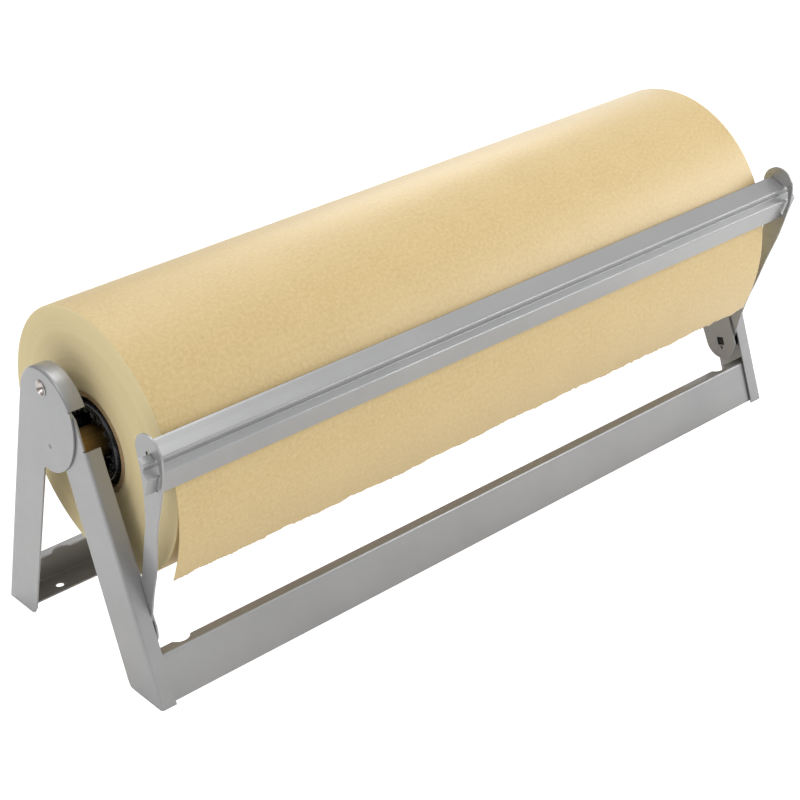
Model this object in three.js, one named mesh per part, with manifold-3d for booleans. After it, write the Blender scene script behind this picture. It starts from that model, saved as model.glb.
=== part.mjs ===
import * as THREE from 'three';
import { mergeVertices } from 'three/addons/utils/BufferGeometryUtils.js';
import Module from 'manifold-3d';

// Countertop roll-paper dispenser with a swing-arm tear bar.  Millimetres, +Z up,
// X along the roll, -Y the side the paper is pulled from, feet on Z = 0.

const wasm = await Module();
wasm.setup();

// ---------------------------------------------------------------- driving dimensions
const HALF = 332;              // end frames' outer faces, from the middle
const SHEET = 1.4;             // enamelled sheet
const GAP = 0.3;               // between neighbouring pieces
const FLANGE = 13;             // width of the turned edge of the rear legs
const FRONT_FLANGE_X = 317.4;  // free edge of the front legs' turned edge
const BEND = 2.4;              // outside radius of a bend

const AXLE_Y = 0;
const AXLE_Z = 176;
const ROLL_R = 102.5;
const ROLL_HALF = 305;
const CORE_R = 39;
const CORE_BORE = 35;
const TUBE_R = 13;
const TUBE_WALL = 1.6;
const TUBE_HALF = 327.4;
const PLUG_LIP_R = 31;

const FRONT_Y = -90.2;         // front line of the front leg at the counter
const FRONT_LEAN = 0.309;
const FRONT_FLANGE_TOP = 189.6;
const FRONT_REAR_Y = -48.7;    // its rear edge
const FRONT_REAR_LEAN = 0.29;

const HEAD_Y = 12.5;           // rounded head of the rear leg
const HEAD_Z = 204;
const HEAD_R = 36;
const HEAD_TANGENT = 19.05;    // where the straight rear edge meets the head, degrees
const HEAD_END = 157;          // where the turned edge stops, degrees
const LOBE = [                 // the lobe's outline from there to the notch at the rear edge
  [-22, 212.5], [-22.5, 204.5], [-21.6, 196], [-19.2, 187.6], [-15.4, 179.4], [-10.6, 172.4],
  [-4.8, 166.4], [2.2, 161.4], [9.6, 157.8], [17.2, 156.2], [23.4, 156.6],
];
const REAR_LEAN = 0.3453;
const REAR_WIDTH = 40;

const RIVET_Y = 14.3;
const RIVET_Z = 224.3;
const RIVET_HOLE_R = 4.3;
const DIMPLE_Y = 14;
const DIMPLE_Z = 178;

// A bend is cut in three chamfers: how far in from the face, and how deep, each goes.
const BEND_STEPS = [[0, 1.0], [0.45, 0.53], [1.05, 0.17]];
const LEAN_FACTOR = 1.05;      // a leaning wall's width along Y against its true thickness
const HEAD_STEPS = 22;         // sides of the head's arc

const RAIL_H = 36.0;
const RAIL_TOP = 8.6;
const RAIL_FOOT = 25;
const HOLE_X = 297;
const HOLE_R = 3.5;
const SCALLOP_X = 294;
const SCALLOP_R = 8.5;

const PIVOT_Y = -54.2;         // swing arm pivot
const PIVOT_Z = 51.5;
const BRACKET_IN = 313.7;      // inner bracket, inboard face
const BRACKET_OUT = 315.1;
const HUB_R = 16.8;
const PIN_R = 4.4;
const PIN_SQUARE = 7;
const SQUARE_HOLE = 7.4;
const SQUARE_TURN = -17.2;     // the bracket leans with the front leg, and so does its hole

const ARM_T = 1.5;
const ARM_OUT = 317.1;         // lower part of the arm, outboard face
const ARM_TOP_OUT = 322.7;     // upper part, cranked outwards
const CRANK_LOW = 104;
const CRANK_HIGH = 164;
const ARM_HEAD_Y = -103.8;
const ARM_HEAD_Z = 214.6;
const ARM_HEAD_R = 15.4;
const ARM_IN = ARM_OUT - ARM_T;
const ARM_TOP_IN = ARM_TOP_OUT - ARM_T;

const PAPER_T = 0.4;
const TORN_Z = 97;

// ---------------------------------------------------------------- solids
function toSolid(geometry) {
  const g = geometry.clone();
  g.deleteAttribute('normal');
  g.deleteAttribute('uv');
  const m = mergeVertices(g, 1e-4);
  const mesh = new wasm.Mesh({
    numProp: 3,
    vertProperties: new Float32Array(m.attributes.position.array),
    triVerts: new Uint32Array(m.index.array),
  });
  return new wasm.Manifold(mesh);
}

function toGeometry(solid) {
  const mesh = solid.getMesh();
  const g = new THREE.BufferGeometry();
  g.setAttribute('position', new THREE.BufferAttribute(new Float32Array(mesh.vertProperties), 3));
  g.setIndex(new THREE.BufferAttribute(new Uint32Array(mesh.triVerts), 1));
  const flat = g.toNonIndexed();
  flat.computeVertexNormals();
  return flat;
}

function union(list) {
  return list.reduce((a, b) => a.add(b));
}

function shapeOf(points, holes = []) {
  const shape = new THREE.Shape(points.map((p) => new THREE.Vector2(p[0], p[1])));
  for (const hole of holes) {
    shape.holes.push(new THREE.Path(hole.map((p) => new THREE.Vector2(p[0], p[1]))));
  }
  return shape;
}

// outline in (y, z), run along X
function prismX(points, x0, x1, holes = []) {
  const lo = Math.min(x0, x1);
  const depth = Math.abs(x1 - x0);
  const g = new THREE.ExtrudeGeometry(shapeOf(points, holes), { depth, bevelEnabled: false, steps: 1 });
  g.applyMatrix4(new THREE.Matrix4().set(0, 0, 1, lo, 1, 0, 0, 0, 0, 1, 0, 0, 0, 0, 0, 1));
  return toSolid(g);
}

// outline in (x, y), run along Z
function prismZ(points, z0, z1) {
  const g = new THREE.ExtrudeGeometry(shapeOf(points), { depth: z1 - z0, bevelEnabled: false, steps: 1 });
  g.translate(0, 0, z0);
  return toSolid(g);
}

function circle(cy, cz, r, n = 40, from = 0, to = 360) {
  const points = [];
  const count = to - from === 360 ? n : n + 1;
  for (let i = 0; i < count; i += 1) {
    const a = THREE.MathUtils.degToRad(from + ((to - from) * i) / n);
    points.push([cy + r * Math.cos(a), cz + r * Math.sin(a)]);
  }
  return points;
}

function discX(cy, cz, r, x0, x1, n = 40, bore = 0) {
  const holes = bore > 0 ? [circle(cy, cz, bore, n).reverse()] : [];
  return prismX(circle(cy, cz, r, n), x0, x1, holes);
}

function sweep(points, radius, steps, sides) {
  const curve = new THREE.CatmullRomCurve3(points.map((p) => new THREE.Vector3(p[0], p[1], p[2])));
  const ring = circle(0, 0, radius, sides);
  const g = new THREE.ExtrudeGeometry(shapeOf(ring), { steps, extrudePath: curve, bevelEnabled: false });
  return toSolid(g);
}

// ---------------------------------------------------------------- scene assembly
const group = new THREE.Group();
group.name = 'roll_paper_dispenser';

const ENAMEL = { color: 0xa3a5a8, roughness: 0.42, metalness: 0.35 };
const PLATED = { color: 0xb9bbbd, roughness: 0.25, metalness: 0.9 };
const BLACKENED = { color: 0x26272a, roughness: 0.45, metalness: 0.7 };
const SPRING = { color: 0x77797c, roughness: 0.35, metalness: 0.85 };
const PLASTIC = { color: 0x17181a, roughness: 0.25, metalness: 0.0 };
const KRAFT = { color: 0xc9a568, roughness: 0.85, metalness: 0.0 };
const BOARD = { color: 0x8f6b40, roughness: 0.9, metalness: 0.0 };

function put(name, solid, look) {
  const material = new THREE.MeshStandardMaterial({ name, ...look });
  const mesh = new THREE.Mesh(toGeometry(solid), material);
  mesh.name = name;
  group.add(mesh);
}

function frontLine(z) {
  return FRONT_Y + FRONT_LEAN * z;
}

function frontRear(z) {
  return FRONT_REAR_Y + FRONT_REAR_LEAN * z;
}

const REAR_Y = HEAD_Y + HEAD_R * Math.cos(THREE.MathUtils.degToRad(HEAD_TANGENT))
  + REAR_LEAN * (HEAD_Z + HEAD_R * Math.sin(THREE.MathUtils.degToRad(HEAD_TANGENT)));

function rearLine(z) {
  return REAR_Y - REAR_LEAN * z;
}

// ---------------------------------------------------------------- rear leg: plate, head, turned edge
function rearLeg(side) {
  const foot = rearLine(0) - REAR_WIDTH;
  const outline = [[rearLine(0), 0]];
  outline.push(...circle(HEAD_Y, HEAD_Z, HEAD_R, HEAD_STEPS, HEAD_TANGENT, HEAD_END));
  outline.push(...LOBE);
  outline.push([27.4, 155.6]);
  outline.push([rearLine(7) - REAR_WIDTH, 7]);
  outline.push(...circle(foot + 5.2, 5.2, 5.2, 5, 200, 270));
  const plate = prismX(outline, side * HALF, side * (HALF - SHEET));
  const bandOut = [[rearLine(0), 0], ...circle(HEAD_Y, HEAD_Z, HEAD_R, HEAD_STEPS, HEAD_TANGENT, HEAD_END)];
  const bandIn = [
    [rearLine(0) - SHEET * LEAN_FACTOR, 0],
    ...circle(HEAD_Y, HEAD_Z, HEAD_R - SHEET, HEAD_STEPS, HEAD_TANGENT, HEAD_END),
  ];
  const band = prismX([...bandOut, ...bandIn.reverse()], side * HALF, side * (HALF - FLANGE));
  let leg = plate.add(band);
  for (const [inward, depth] of BEND_STEPS) {
    const ring = [
      [rearLine(-1) + 4, -1],
      ...circle(HEAD_Y, HEAD_Z, HEAD_R + 4, HEAD_STEPS, HEAD_TANGENT, HEAD_END + 0.5),
      ...circle(HEAD_Y, HEAD_Z, HEAD_R - depth, HEAD_STEPS, HEAD_TANGENT, HEAD_END + 0.5).reverse(),
      [rearLine(-1) - depth * LEAN_FACTOR, -1],
    ];
    leg = leg.subtract(prismX(ring, side * (HALF + 1), side * (HALF - inward)));
  }
  leg = leg.subtract(discX(RIVET_Y, RIVET_Z, RIVET_HOLE_R, side * (HALF + 2), side * (HALF - 6), 24));
  const dimple = new THREE.SphereGeometry(2.2, 12, 8);
  dimple.translate(side * (HALF + 1.35), DIMPLE_Y, DIMPLE_Z);
  return leg.subtract(toSolid(dimple));
}

// ---------------------------------------------------------------- front leg: plate and turned edge
function frontLeg(side) {
  const skin = HALF - SHEET - GAP;
  const crown = HEAD_R - SHEET - GAP;
  const outline = [
    [frontRear(0) - 5, 0],
    [frontRear(0) - 1.4, 1.5],
    [frontRear(5), 5],
    [frontRear(164), 164],
    [10, 172],
    ...circle(HEAD_Y, HEAD_Z, crown, 20, -40, 160),
    [frontLine(212.5) + 0.2, 212.5],
    [frontLine(0), 0],
  ];
  const plate = prismX(outline, side * skin, side * (skin - SHEET));
  const strip = [
    [frontLine(0), 0],
    [frontLine(FRONT_FLANGE_TOP), FRONT_FLANGE_TOP],
    [frontLine(FRONT_FLANGE_TOP) + SHEET, FRONT_FLANGE_TOP + 0.45],
    [frontLine(0) + SHEET * LEAN_FACTOR, 0],
  ];
  let leg = plate.add(prismX(strip, side * skin, side * FRONT_FLANGE_X));
  for (const [inward, depth] of BEND_STEPS) {
    const cut = [
      [frontLine(-1) - 4, -1],
      [frontLine(-1) + depth * LEAN_FACTOR, -1],
      [frontLine(FRONT_FLANGE_TOP) + depth * LEAN_FACTOR, FRONT_FLANGE_TOP],
      [frontLine(FRONT_FLANGE_TOP) - 4, FRONT_FLANGE_TOP],
    ];
    leg = leg.subtract(prismX(cut, side * (skin + 1), side * (skin - inward)));
  }
  // clipped lower corner of the turned edge
  const clip = [[-140, -1], [-60, -1], [-60, 2.2], [-140, 2.2]];
  leg = leg.subtract(prismX(clip, side * (FRONT_FLANGE_X + 2.2), side * (FRONT_FLANGE_X - 6)));
  return leg.subtract(discX(RIVET_Y, RIVET_Z, RIVET_HOLE_R, side * (HALF + 2), side * (HALF - 6), 24));
}

// ---------------------------------------------------------------- inner bracket: pivot hub and axle saddle
function squareAt(s) {
  return [
    [PIVOT_Y - s, PIVOT_Z - s],
    [PIVOT_Y + s, PIVOT_Z - s],
    [PIVOT_Y + s, PIVOT_Z + s],
    [PIVOT_Y - s, PIVOT_Z + s],
  ];
}

// turned with the bracket round the pivot
function turned(points) {
  const c = Math.cos(THREE.MathUtils.degToRad(SQUARE_TURN));
  const s = Math.sin(THREE.MathUtils.degToRad(SQUARE_TURN));
  return points.map(([y, z]) => [
    PIVOT_Y + (y - PIVOT_Y) * c - (z - PIVOT_Z) * s,
    PIVOT_Z + (y - PIVOT_Y) * s + (z - PIVOT_Z) * c,
  ]);
}

function innerBracket(side) {
  const x0 = side * BRACKET_IN;
  const x1 = side * BRACKET_OUT;
  const hub = discX(PIVOT_Y, PIVOT_Z, HUB_R, x0, x1, 36);
  const web = prismX([
    [PIVOT_Y - 16.2, PIVOT_Z + 4.5],
    [PIVOT_Y + 16, PIVOT_Z - 5.2],
    [AXLE_Y + 8, AXLE_Z - 21],
    [AXLE_Y, AXLE_Z - 2],
    [AXLE_Y - 20, AXLE_Z - 1],
    [AXLE_Y - 31, AXLE_Z - 10],
  ], x0, x1);
  // the saddle cups the tube from below and stands up behind it
  const saddle = prismX([
    [AXLE_Y - 10, AXLE_Z - 20],
    [AXLE_Y + 8, AXLE_Z - 21],
    [AXLE_Y + 16, AXLE_Z - 14],
    [AXLE_Y + 19.5, AXLE_Z - 5],
    [AXLE_Y + 19.5, AXLE_Z + 13],
    [AXLE_Y - 6, AXLE_Z + 13],
  ], x0, x1);
  const bore = TUBE_R + 0.08;
  let plate = union([hub, web, saddle]);
  plate = plate.subtract(discX(AXLE_Y, AXLE_Z, bore, x0 - side * 2, x1 + side * 2, 40));
  plate = plate.subtract(prismX([
    [AXLE_Y - bore, AXLE_Z],
    [AXLE_Y + bore, AXLE_Z],
    [AXLE_Y + bore, AXLE_Z + 40],
    [AXLE_Y - bore, AXLE_Z + 40],
  ], x0 - side * 2, x1 + side * 2));
  const square = turned(squareAt(SQUARE_HOLE / 2));
  plate = plate.subtract(prismX(square, x0 - side * 2, x1 + side * 2));
  const slot = turned([
    [PIVOT_Y - 1, PIVOT_Z - 7.6],
    [PIVOT_Y + 1, PIVOT_Z - 7.6],
    [PIVOT_Y + 1, PIVOT_Z - 4.6],
    [PIVOT_Y - 1, PIVOT_Z - 4.6],
  ]);
  return plate.subtract(prismX(slot, x0 - side * 2, x1 + side * 2));
}

const SPACERS = [['lower', -27, 104, 4], ['upper', -7, 156.6, 3.2]];

function spacer(side, y, z, r) {
  return discX(y, z, r, side * (BRACKET_OUT + GAP), side * (HALF - 2 * SHEET - 2 * GAP), 16);
}

// ---------------------------------------------------------------- rails
function railProfile(lineY, lean, dir) {
  // dir +1: the flanges run towards +Y
  const k = 1.05;
  const bend = BEND;
  const out = [];
  const web = (z, inset) => lineY + dir * (lean * z + inset * k);
  out.push([web(0, 0) + dir * RAIL_FOOT, 0]);
  out.push([web(0, 0) + dir * RAIL_FOOT, SHEET]);
  out.push([web(SHEET, SHEET) + dir * 1.2, SHEET]);
  out.push([web(SHEET + 1, SHEET), SHEET + 1]);
  out.push([web(RAIL_H - SHEET - 1, SHEET), RAIL_H - SHEET - 1]);
  out.push([web(RAIL_H - SHEET, SHEET) + dir * 1.0, RAIL_H - SHEET]);
  out.push([web(RAIL_H, 0) + dir * RAIL_TOP, RAIL_H - SHEET]);
  out.push([web(RAIL_H, 0) + dir * RAIL_TOP, RAIL_H]);
  out.push([web(RAIL_H, 0) + dir * bend * 0.85, RAIL_H]);
  out.push([web(RAIL_H - 0.35, 0) + dir * bend * 0.38, RAIL_H - 0.3]);
  out.push([web(RAIL_H - 1.1, 0) + dir * bend * 0.08, RAIL_H - 1.0]);
  out.push([web(RAIL_H - bend, 0), RAIL_H - bend]);
  out.push([web(bend, 0), bend]);
  out.push([web(1.0, 0) + dir * bend * 0.08, 1.0]);
  out.push([web(0.3, 0) + dir * bend * 0.42, 0.3]);
  out.push([web(0, 0) + dir * bend, 0]);
  return out;
}

function rail(lineY, lean, dir, half) {
  let body = prismX(railProfile(lineY, lean, dir), -half, half);
  const edge = lineY + dir * (lean * RAIL_H + RAIL_TOP);
  for (const side of [-1, 1]) {
    const notch = circle(side * SCALLOP_X, edge + dir * 3.8, SCALLOP_R, 28);
    body = body.subtract(prismZ(notch, RAIL_H - SHEET - 1.2, RAIL_H + 2));
    const hole = circle(side * HOLE_X, lineY + dir * 16.2, HOLE_R, 28);
    body = body.subtract(prismZ(hole, -1, SHEET + 1));
    // rounded upper end corners of the web
    const corner = prismX([
      [edge - 30, RAIL_H - 3.5],
      [edge + 30, RAIL_H - 3.5],
      [edge + 30, RAIL_H + 3],
      [edge - 30, RAIL_H + 3],
    ], side * (half - 2), side * (half + 2));
    body = body.subtract(corner);
  }
  return body;
}

// ---------------------------------------------------------------- swing arms
const HOOK_Y = -64;            // hole that holds the spring's end
const HOOK_Z = 73;

const ARM_OUTLINE = [
  ...circle(PIVOT_Y, PIVOT_Z, 11.5, 14, 190, 345),
  [-50, 66],
  [-56.5, 80],
  [-63.6, 98],
  [-71.4, 118],
  [-79.6, 137],
  [-87.6, 156],
  [-90.2, 172],
  [-91.2, 186],
  [-90.6, 198],
  ...circle(ARM_HEAD_Y, ARM_HEAD_Z, ARM_HEAD_R, 22, -6, 180),
  [-118.8, 209],
  [-117.9, 203],
  [-116.2, 196],
  [-113.4, 187],
  [-110, 177],
  [-106, 166.6],
  [-101.6, 156],
  [-96.2, 142.4],
  [-88.4, 120],
  [-80.8, 101],
  [-74, 81],
];

const TENON_SLOT = [
  [-113, 215.6],
  [-105.4, 218],
  [-100.4, 217.4],
  [-100.4, 200],
  [-102.6, 185.6],
  [-108.6, 185.6],
  [-114.8, 201],
  [-114.8, 212.4],
];

// outline in (x, z), run along Y
function prismY(points, y0, y1) {
  const g = new THREE.ExtrudeGeometry(shapeOf(points), { depth: y1 - y0, bevelEnabled: false, steps: 1 });
  g.applyMatrix4(new THREE.Matrix4().set(1, 0, 0, 0, 0, 0, -1, y1, 0, 1, 0, 0, 0, 0, 0, 1));
  return toSolid(g);
}

function arm(side) {
  const x0 = side * ARM_IN;
  const x1 = side * ARM_TOP_OUT;
  let plate = prismX(ARM_OUTLINE, x0 - side * 2, x1 + side * 2);
  const crank = [
    [ARM_OUT, 0],
    [ARM_OUT, CRANK_LOW],
    [ARM_TOP_OUT, CRANK_HIGH],
    [ARM_TOP_OUT, 300],
    [ARM_TOP_IN, 300],
    [ARM_TOP_IN, CRANK_HIGH],
    [ARM_IN, CRANK_LOW],
    [ARM_IN, 0],
  ].map(([x, z]) => [side * x, z]);
  plate = plate.intersect(prismY(crank, -130, 0));
  plate = plate.subtract(prismX(TENON_SLOT, x0 - side * 2, x1 + side * 2));
  plate = plate.subtract(discX(PIVOT_Y, PIVOT_Z, PIN_R + 0.08, x0 - side * 2, x1 + side * 2, 40));
  plate = plate.subtract(discX(HOOK_Y, HOOK_Z, 1.4, x0 - side * 2, x1 + side * 2, 16));
  return plate;
}

// ---------------------------------------------------------------- pivot pin with its squared end
function pivotPin(side) {
  const section = turned(squareAt(PIN_SQUARE / 2));
  const square = prismX(section, side * (BRACKET_IN + 0.5), side * (BRACKET_OUT + 0.3));
  const round = discX(PIVOT_Y, PIVOT_Z, PIN_R, side * (BRACKET_OUT + 0.2), side * 326.4, 40);
  const head = discX(PIVOT_Y, PIVOT_Z, 9.6, side * 326.2, side * 328, 40);
  return union([square, round, head]);
}

// ---------------------------------------------------------------- torsion spring round the pin
function torsionSpring(side) {
  const wire = 0.8;
  const mean = 6.4;
  const turns = 3.25;
  const start = ARM_OUT + wire + 0.3;
  const pitch = 1.9;
  const points = [];
  points.push([side * (ARM_IN + 0.3), HOOK_Y, HOOK_Z]);
  points.push([side * (ARM_OUT + 0.4), HOOK_Y, HOOK_Z]);
  points.push([side * (start + 0.1), HOOK_Y + 1, HOOK_Z - 2.5]);
  const n = 12;
  for (let i = 0; i <= turns * n; i += 1) {
    const a = Math.PI + 0.25 - (i / n) * 2 * Math.PI;
    points.push([
      side * (start + 0.15 + (pitch * i) / n),
      PIVOT_Y + mean * Math.cos(a),
      PIVOT_Z + mean * Math.sin(a),
    ]);
  }
  const end = side * (start + 0.3 + pitch * turns);
  points.push([end, PIVOT_Y + 13, PIVOT_Z + 26]);
  points.push([end, -33.6, 98.6]);
  return sweep(points, wire, 104, 6);
}

// ---------------------------------------------------------------- tear bar, tenons and blade
const BAR_FACE = [
  [-96.5, 220.4],
  [-97.8, 220.1],
  [-99.8, 218.8],
  [-103.2, 217.2],
  [-107.2, 215.6],
  [-110.2, 214.3],
  [-111.9, 213.4],
  [-112.2, 212.2],
  [-110.4, 210.6],
  [-108.9, 208.8],
  [-109.4, 206.8],
  [-111.2, 205],
  [-113.1, 203.9],
  [-113.7, 202.6],
  [-112.9, 199.8],
  [-110.9, 194.6],
  [-108.8, 189.4],
  [-107.1, 185.4],
];

function offsetLine(points, d) {
  return points.map((p, i) => {
    const a = points[Math.max(0, i - 1)];
    const b = points[Math.min(points.length - 1, i + 1)];
    const len = Math.hypot(b[0] - a[0], b[1] - a[1]);
    return [p[0] - (d * (b[1] - a[1])) / len, p[1] + (d * (b[0] - a[0])) / len];
  });
}

const BAR_T = 1.3;

function tearBar() {
  const back = offsetLine(BAR_FACE, BAR_T);
  const section = [...BAR_FACE, ...back.reverse()];
  let bar = prismX(section, -HALF, HALF);
  for (const side of [-1, 1]) {
    // shoulder: only the tenon passes the arm
    const above = prismX([[-130, 216.6], [-101.4, 216.6], [-101.4, 200], [-80, 200], [-80, 240], [-130, 240]],
      side * (ARM_TOP_IN - GAP), side * (HALF + 1));
    // the lower face is cut back on a slant past the arm
    const below = prismX([[-130, 189], [-80, 189], [-80, 170], [-130, 170]],
      side * (ARM_TOP_IN - GAP), side * (HALF + 1));
    bar = bar.subtract(above).subtract(below);
  }
  return bar;
}

const BLADE_HALF = 317;

function blade() {
  const section = [
    [-110.7, 199.6],
    [-109.8, 199.9],
    [-104.4, 185],
    [-104.2, 183.2],
    [-105.05, 184],
  ];
  return prismX(section, -BLADE_HALF, BLADE_HALF);
}

// ---------------------------------------------------------------- roll, core, plugs, tube
function corePlug(side) {
  const out = side * (ROLL_HALF - 7);
  const face = side * (ROLL_HALF + 1.5);
  const step = side * (ROLL_HALF - 6);
  const deep = side * (ROLL_HALF - 26);
  const bore = TUBE_R + 0.08;
  const fit = discX(AXLE_Y, AXLE_Z, CORE_BORE - 0.3, step, deep, 40, CORE_BORE - 6);
  const lip = discX(AXLE_Y, AXLE_Z, PLUG_LIP_R, face, deep, 40, PLUG_LIP_R - 4);
  const hub = discX(AXLE_Y, AXLE_Z, bore + 3.4, out, deep, 40, bore);
  const webOut = side * (ROLL_HALF - 12);
  const webIn = side * (ROLL_HALF - 14.5);
  const web = discX(AXLE_Y, AXLE_Z, PLUG_LIP_R - 1, webOut, webIn, 40, bore);
  const ribs = [];
  for (let i = 0; i < 8; i += 1) {
    const a = (i * Math.PI) / 4 + 0.2;
    const c = Math.cos(a);
    const s = Math.sin(a);
    const at = (u, v) => [AXLE_Y + u * c - v * s, AXLE_Z + u * s + v * c];
    const reach = PLUG_LIP_R - 1.6;
    ribs.push(prismX([at(bore + 2.4, -1.1), at(reach, -1.1), at(reach, 1.1), at(bore + 2.4, 1.1)],
      out, deep));
  }
  return union([fit, lip, hub, web, ...ribs]);
}

function paperTail() {
  const path = [];
  for (const deg of [9, 6, 3, 0]) {
    const a = THREE.MathUtils.degToRad(180 - deg);
    path.push([AXLE_Y + (ROLL_R + 0.3) * Math.cos(a), AXLE_Z + (ROLL_R + 0.3) * Math.sin(a)]);
  }
  path.push([-102.7, 164], [-101.9, 152], [-99.4, 138], [-95, 122], [-89.6, 108], [-83.6, 95], [-80.4, 89]);
  const inner = offsetLine(path, -PAPER_T).reverse();
  const sheet = prismX([...path, ...inner], -ROLL_HALF, ROLL_HALF);
  const teeth = [[-ROLL_HALF - 5, 230], [-ROLL_HALF - 5, 94]];
  for (let i = 0; i <= 60; i += 1) {
    const x = -ROLL_HALF + (2 * ROLL_HALF * i) / 60;
    const jag = 1.3 * Math.sin(i * 2.4) + 0.9 * Math.sin(i * 5.3 + 1) + 0.5 * Math.sin(i * 0.37);
    teeth.push([x, TORN_Z + jag]);
  }
  teeth.push([ROLL_HALF + 5, 94], [ROLL_HALF + 5, 230]);
  const g = new THREE.ExtrudeGeometry(shapeOf(teeth), { depth: 60, bevelEnabled: false });
  g.applyMatrix4(new THREE.Matrix4().set(1, 0, 0, 0, 0, 0, -1, -60, 0, 1, 0, 0, 0, 0, 0, 1));
  return sheet.intersect(toSolid(g));
}

// ---------------------------------------------------------------- eyelet: flared hollow rivet
function eyelet(side) {
  const profile = [
    [2.5, -3.6],
    [4.2, -3.6],
    [4.2, 0.05],
    [5.6, 0.1],
    [6.0, 0.5],
    [5.4, 1.1],
    [4.2, 1.3],
    [3.2, 0.9],
    [2.6, 0.0],
  ].map((p) => new THREE.Vector2(p[0], p[1]));
  profile.push(profile[0].clone());
  const g = new THREE.LatheGeometry(profile, 20);
  g.rotateZ(side > 0 ? -Math.PI / 2 : Math.PI / 2);
  g.translate(side * (HALF + 0.15), RIVET_Y, RIVET_Z);
  return toSolid(g);
}

for (const [label, side] of [['left', -1], ['right', 1]]) {
  put(`${label}_rear_leg`, rearLeg(side), ENAMEL);
  put(`${label}_front_leg`, frontLeg(side), ENAMEL);
  put(`${label}_inner_bracket`, innerBracket(side), ENAMEL);
  put(`${label}_head_eyelet`, eyelet(side), PLATED);
  for (const [where, y, z, r] of SPACERS) {
    put(`${label}_spacer_${where}`, spacer(side, y, z, r), PLATED);
  }
  put(`${label}_pivot_pin`, pivotPin(side), BLACKENED);
  put(`${label}_torsion_spring`, torsionSpring(side), SPRING);
  put(`${label}_swing_arm`, arm(side), ENAMEL);
  put(`${label}_core_plug`, corePlug(side), PLASTIC);
}

put('front_rail', rail(FRONT_Y + SHEET + GAP, FRONT_LEAN, 1, HALF - 2 * SHEET - 2 * GAP), ENAMEL);
put('rear_rail', rail(REAR_Y - SHEET - GAP - 0.1, REAR_LEAN, -1, HALF - SHEET - GAP), ENAMEL);
put('tear_bar', tearBar(), ENAMEL);
put('tear_blade', blade(), ENAMEL);
put('axle_tube', discX(AXLE_Y, AXLE_Z, TUBE_R, -TUBE_HALF, TUBE_HALF, 40, TUBE_R - TUBE_WALL), PLATED);
put('paper_core', discX(AXLE_Y, AXLE_Z, CORE_R, -ROLL_HALF, ROLL_HALF, 48, CORE_BORE), BOARD);
put('paper_roll', discX(AXLE_Y, AXLE_Z, ROLL_R, -ROLL_HALF, ROLL_HALF, 96, CORE_R + 0.12), KRAFT);
put('paper_tail', paperTail(), KRAFT);

export default group;
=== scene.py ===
import math
import random

import bmesh
import bpy
from mathutils import Matrix, Vector
from mathutils.geometry import tessellate_polygon


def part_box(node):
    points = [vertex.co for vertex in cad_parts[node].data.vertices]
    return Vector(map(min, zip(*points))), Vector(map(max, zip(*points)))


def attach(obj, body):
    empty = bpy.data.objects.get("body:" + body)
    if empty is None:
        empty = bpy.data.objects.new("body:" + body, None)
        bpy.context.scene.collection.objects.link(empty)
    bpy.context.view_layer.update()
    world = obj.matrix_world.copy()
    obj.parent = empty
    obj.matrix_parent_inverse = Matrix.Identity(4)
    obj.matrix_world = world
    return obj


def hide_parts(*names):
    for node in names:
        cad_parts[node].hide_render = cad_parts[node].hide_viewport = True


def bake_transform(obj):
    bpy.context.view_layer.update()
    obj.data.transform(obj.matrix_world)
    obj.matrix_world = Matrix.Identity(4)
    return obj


# Looks of a countertop roll paper dispenser: folded sheet steel, a kraft roll and its torn end.
# All shapes are worked out in millimetres in the CAD frame and scaled when a mesh is made.

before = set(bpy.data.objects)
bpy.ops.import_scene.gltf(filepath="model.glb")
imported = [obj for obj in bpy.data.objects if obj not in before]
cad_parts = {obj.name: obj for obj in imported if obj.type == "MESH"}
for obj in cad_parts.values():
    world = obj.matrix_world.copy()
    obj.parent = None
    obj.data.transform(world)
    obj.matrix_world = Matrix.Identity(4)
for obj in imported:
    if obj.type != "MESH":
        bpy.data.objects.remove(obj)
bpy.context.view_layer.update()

MM = 0.001
random.seed(7)


# ---------------------------------------------------------------- sizes, from the frame
def box_mm(node):
    low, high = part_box(node)
    return low / MM, high / MM


leg_low, leg_high = box_mm("right_rear_leg")
front_low = box_mm("right_front_leg")[0]
rail_low, rail_high = box_mm("front_rail")
rear_rail_high = box_mm("rear_rail")[1]
arm_low, arm_high = box_mm("right_swing_arm")
bracket_high = box_mm("right_inner_bracket")[1]
tube_low, tube_high = box_mm("axle_tube")
roll_high = box_mm("paper_roll")[1]
core_high = box_mm("paper_core")[1]
pin_low, pin_high = box_mm("right_pivot_pin")
eyelet_low, eyelet_high = box_mm("right_head_eyelet")
blade_high = box_mm("tear_blade")[1]

HALF = leg_high.x
SHEET = 1.4
GAP = 0.3
FLANGE = HALF - leg_low.x
BEND = 2.4
BEND_STEPS = 6

AXLE_Y = (tube_low.y + tube_high.y) / 2
AXLE_Z = (tube_low.z + tube_high.z) / 2
TUBE_R = (tube_high.z - tube_low.z) / 2
TUBE_WALL = 1.6
ROLL_R = roll_high.z - AXLE_Z
ROLL_HALF = roll_high.x
ROLL_LAYERS = 60               # rings drawn on the roll's ends
CORE_R = core_high.z - AXLE_Z
CORE_BORE = CORE_R - 4
LIP_R = 30.0                   # the core plug's lip
PLUG_RIBS = 8
PLUG_LUMPS = 20

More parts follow.
